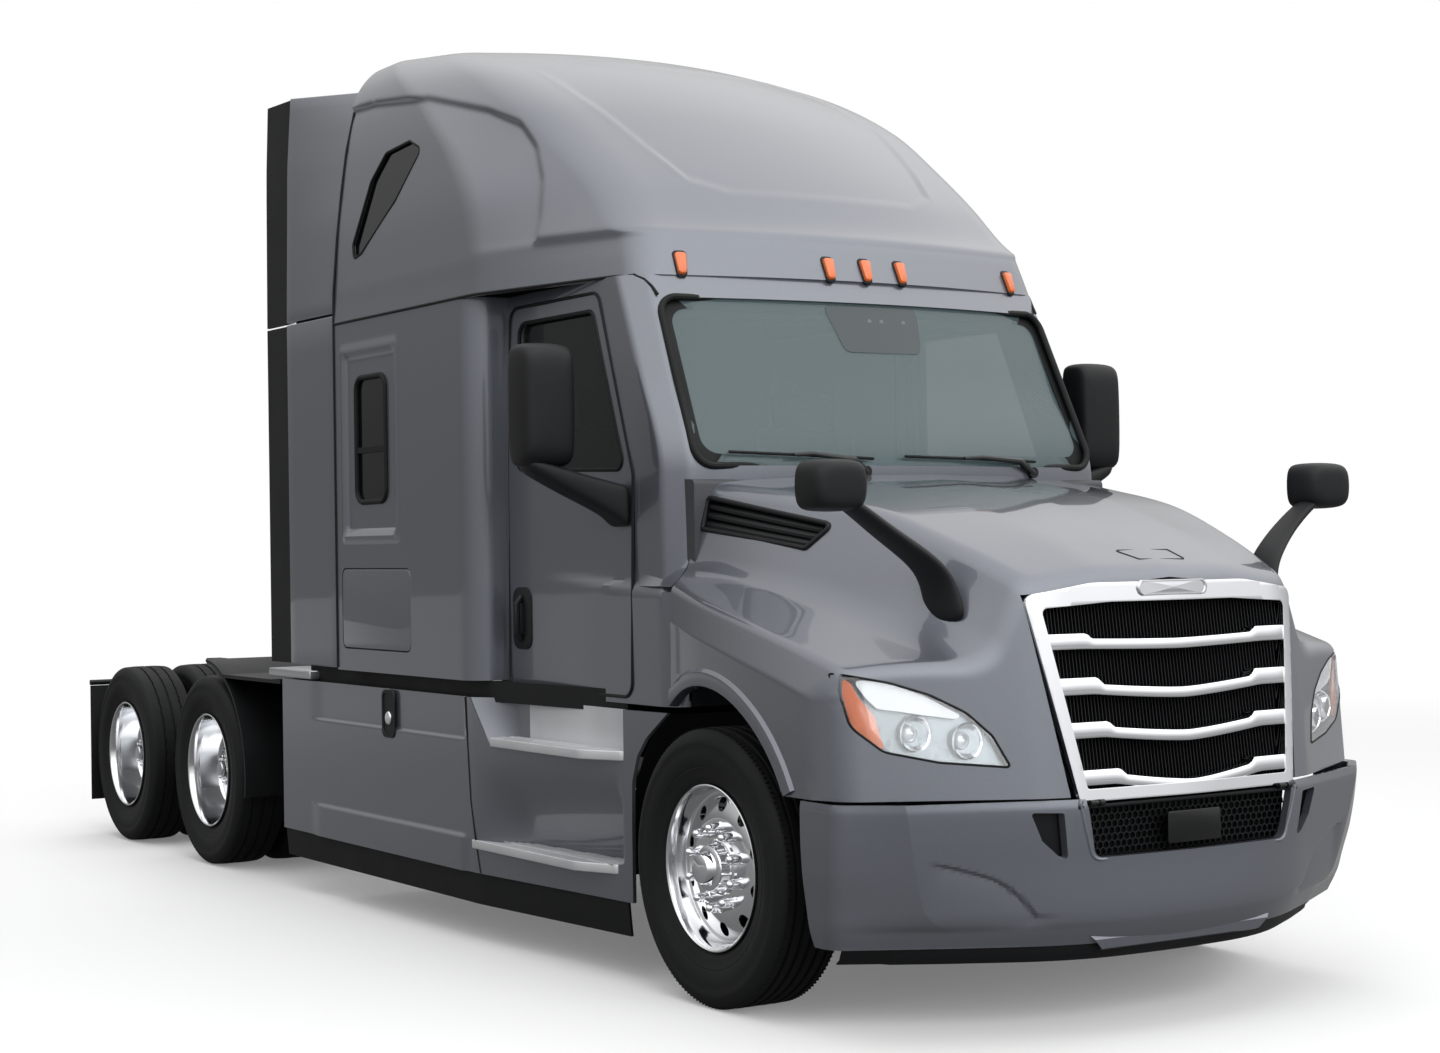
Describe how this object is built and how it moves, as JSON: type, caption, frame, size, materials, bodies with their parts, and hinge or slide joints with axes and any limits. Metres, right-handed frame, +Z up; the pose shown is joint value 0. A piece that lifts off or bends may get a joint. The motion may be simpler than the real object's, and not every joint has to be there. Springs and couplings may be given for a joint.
{
  "type": "semi truck tractor unit",
  "caption": "Highway tractor unit with raised-roof sleeper cab, tilting hood, opening doors, steered front wheels and twin rear wheels under a coupling plate.",
  "frame": {"origin": "on the ground under the middle of the truck's box", "axes": "+Z up, the truck faces -Y, +X is the driver's left side"},
  "size_m": [2.98, 8.2385, 3.965],
  "materials": {
    "grey_paint": "metallic gloss",
    "window_glass": "clear",
    "tyre_rubber": "matte",
    "polished_aluminium": "polished",
    "brushed_aluminium": "satin",
    "chrome": "polished",
    "black_rubber": "matte",
    "black_plastic": "textured",
    "lamp_lens": "clear gloss",
    "red_lens": "gloss",
    "seat_fabric": "woven",
    "cast_iron": "painted black",
    "chassis_black": "satin black"
  },
  "bodies": {
    "root": {"bumper": "grey_paint", "bumper_grille": "black_plastic", "cab_glass": "window_glass", "cab_shell": "grey_paint", "dashboard": "black_plastic", "deck_plate": "brushed_aluminium", "engine_block": "cast_iron", "fifth_wheel_base": "cast_iron", "frame_rails": "chassis_black", "front_axle": "chassis_black", "fuel_tanks": "brushed_aluminium", "radiator": "cast_iron", "rear_axles": "chassis_black", "rear_fenders": "black_plastic", "roof_cap": "grey_paint", "rubber_flaps": "black_rubber", "seats": "seat_fabric", "side_extenders": "grey_paint", "side_skirts": "grey_paint", "sleeper_shell": "grey_paint", "step_treads": "brushed_aluminium", "suspension": "chassis_black", "tail_lamps": "red_lens"},
    "hood": {"hood": "grey_paint", "grille_surround": "chrome", "hood_grilles": "black_plastic", "headlamps": "lamp_lens", "hood_mirrors": "black_plastic"},
    "coupling_plate": {"fifth_wheel_plate": "cast_iron"},
    "door_left": {"door_left": "grey_paint", "door_left_glass": "window_glass", "door_left_fittings": "black_plastic"},
    "luggage_door_left": {"luggage_door_left": "grey_paint"},
    "knuckle_left": {"knuckle_left": "chassis_black"},
    "front_wheel_left": {"front_left_tyre": "tyre_rubber", "front_left_rim": "polished_aluminium"},
    "forward_wheels_left": {"forward_left_tyres": "tyre_rubber", "forward_left_rims": "polished_aluminium"},
    "rearward_wheels_left": {"rearward_left_tyres": "tyre_rubber", "rearward_left_rims": "polished_aluminium"},
    "door_right": {"door_right": "grey_paint", "door_right_glass": "window_glass", "door_right_fittings": "black_plastic"},
    "luggage_door_right": {"luggage_door_right": "grey_paint"},
    "knuckle_right": {"knuckle_right": "chassis_black"},
    "front_wheel_right": {"front_right_tyre": "tyre_rubber", "front_right_rim": "polished_aluminium"},
    "forward_wheels_right": {"forward_right_tyres": "tyre_rubber", "forward_right_rims": "polished_aluminium"},
    "rearward_wheels_right": {"rearward_right_tyres": "tyre_rubber", "rearward_right_rims": "polished_aluminium"}
  },
  "joints": [
    {"name": "hood_tilt", "type": "hinge", "parent": "root", "child": "hood", "pos_m": [0, -4.09574, 0.786], "axis": [1, 0, 0], "range_deg": [0, 65]},
    {"name": "coupling_tilt", "type": "hinge", "parent": "root", "child": "coupling_plate", "pos_m": [0, 2.60926, 1.085], "axis": [1, 0, 0], "range_deg": [-12, 12]},
    {"name": "door_left_swing", "type": "hinge", "parent": "root", "child": "door_left", "pos_m": [1.062, -2.20074, 1.6], "axis": [0, 0, -1], "range_deg": [0, 70]},
    {"name": "luggage_left_swing", "type": "hinge", "parent": "root", "child": "luggage_door_left", "pos_m": [1.222, -0.54074, 1.38], "axis": [0, 0, -1], "range_deg": [0, 80]},
    {"name": "steer_left", "type": "hinge", "parent": "root", "child": "knuckle_left", "pos_m": [0.88, -2.84074, 0.5], "axis": [0, 0, 1], "range_deg": [-35, 35]},
    {"name": "front_left_roll", "type": "hinge", "parent": "knuckle_left", "child": "front_wheel_left", "pos_m": [1.025, -2.84074, 0.5], "axis": [1, 0, 0], "continuous": true},
    {"name": "forward_left_roll", "type": "hinge", "parent": "root", "child": "forward_wheels_left", "pos_m": [0.892, 2.08926, 0.5], "axis": [1, 0, 0], "continuous": true},
    {"name": "rearward_left_roll", "type": "hinge", "parent": "root", "child": "rearward_wheels_left", "pos_m": [0.892, 3.41026, 0.5], "axis": [1, 0, 0], "continuous": true},
    {"name": "door_right_swing", "type": "hinge", "parent": "root", "child": "door_right", "pos_m": [-1.062, -2.20074, 1.6], "axis": [0, 0, 1], "range_deg": [0, 70]},
    {"name": "luggage_right_swing", "type": "hinge", "parent": "root", "child": "luggage_door_right", "pos_m": [-1.222, -0.54074, 1.38], "axis": [0, 0, 1], "range_deg": [0, 80]},
    {"name": "steer_right", "type": "hinge", "parent": "root", "child": "knuckle_right", "pos_m": [-0.88, -2.84074, 0.5], "axis": [0, 0, 1], "range_deg": [-35, 35]},
    {"name": "front_right_roll", "type": "hinge", "parent": "knuckle_right", "child": "front_wheel_right", "pos_m": [-1.025, -2.84074, 0.5], "axis": [1, 0, 0], "continuous": true},
    {"name": "forward_right_roll", "type": "hinge", "parent": "root", "child": "forward_wheels_right", "pos_m": [-0.892, 2.08926, 0.5], "axis": [1, 0, 0], "continuous": true},
    {"name": "rearward_right_roll", "type": "hinge", "parent": "root", "child": "rearward_wheels_right", "pos_m": [-0.892, 3.41026, 0.5], "axis": [1, 0, 0], "continuous": true}
  ],
  "couplings": [
    {"joint": "steer_left", "follows": "steer_right", "ratio": 1}
  ]
}
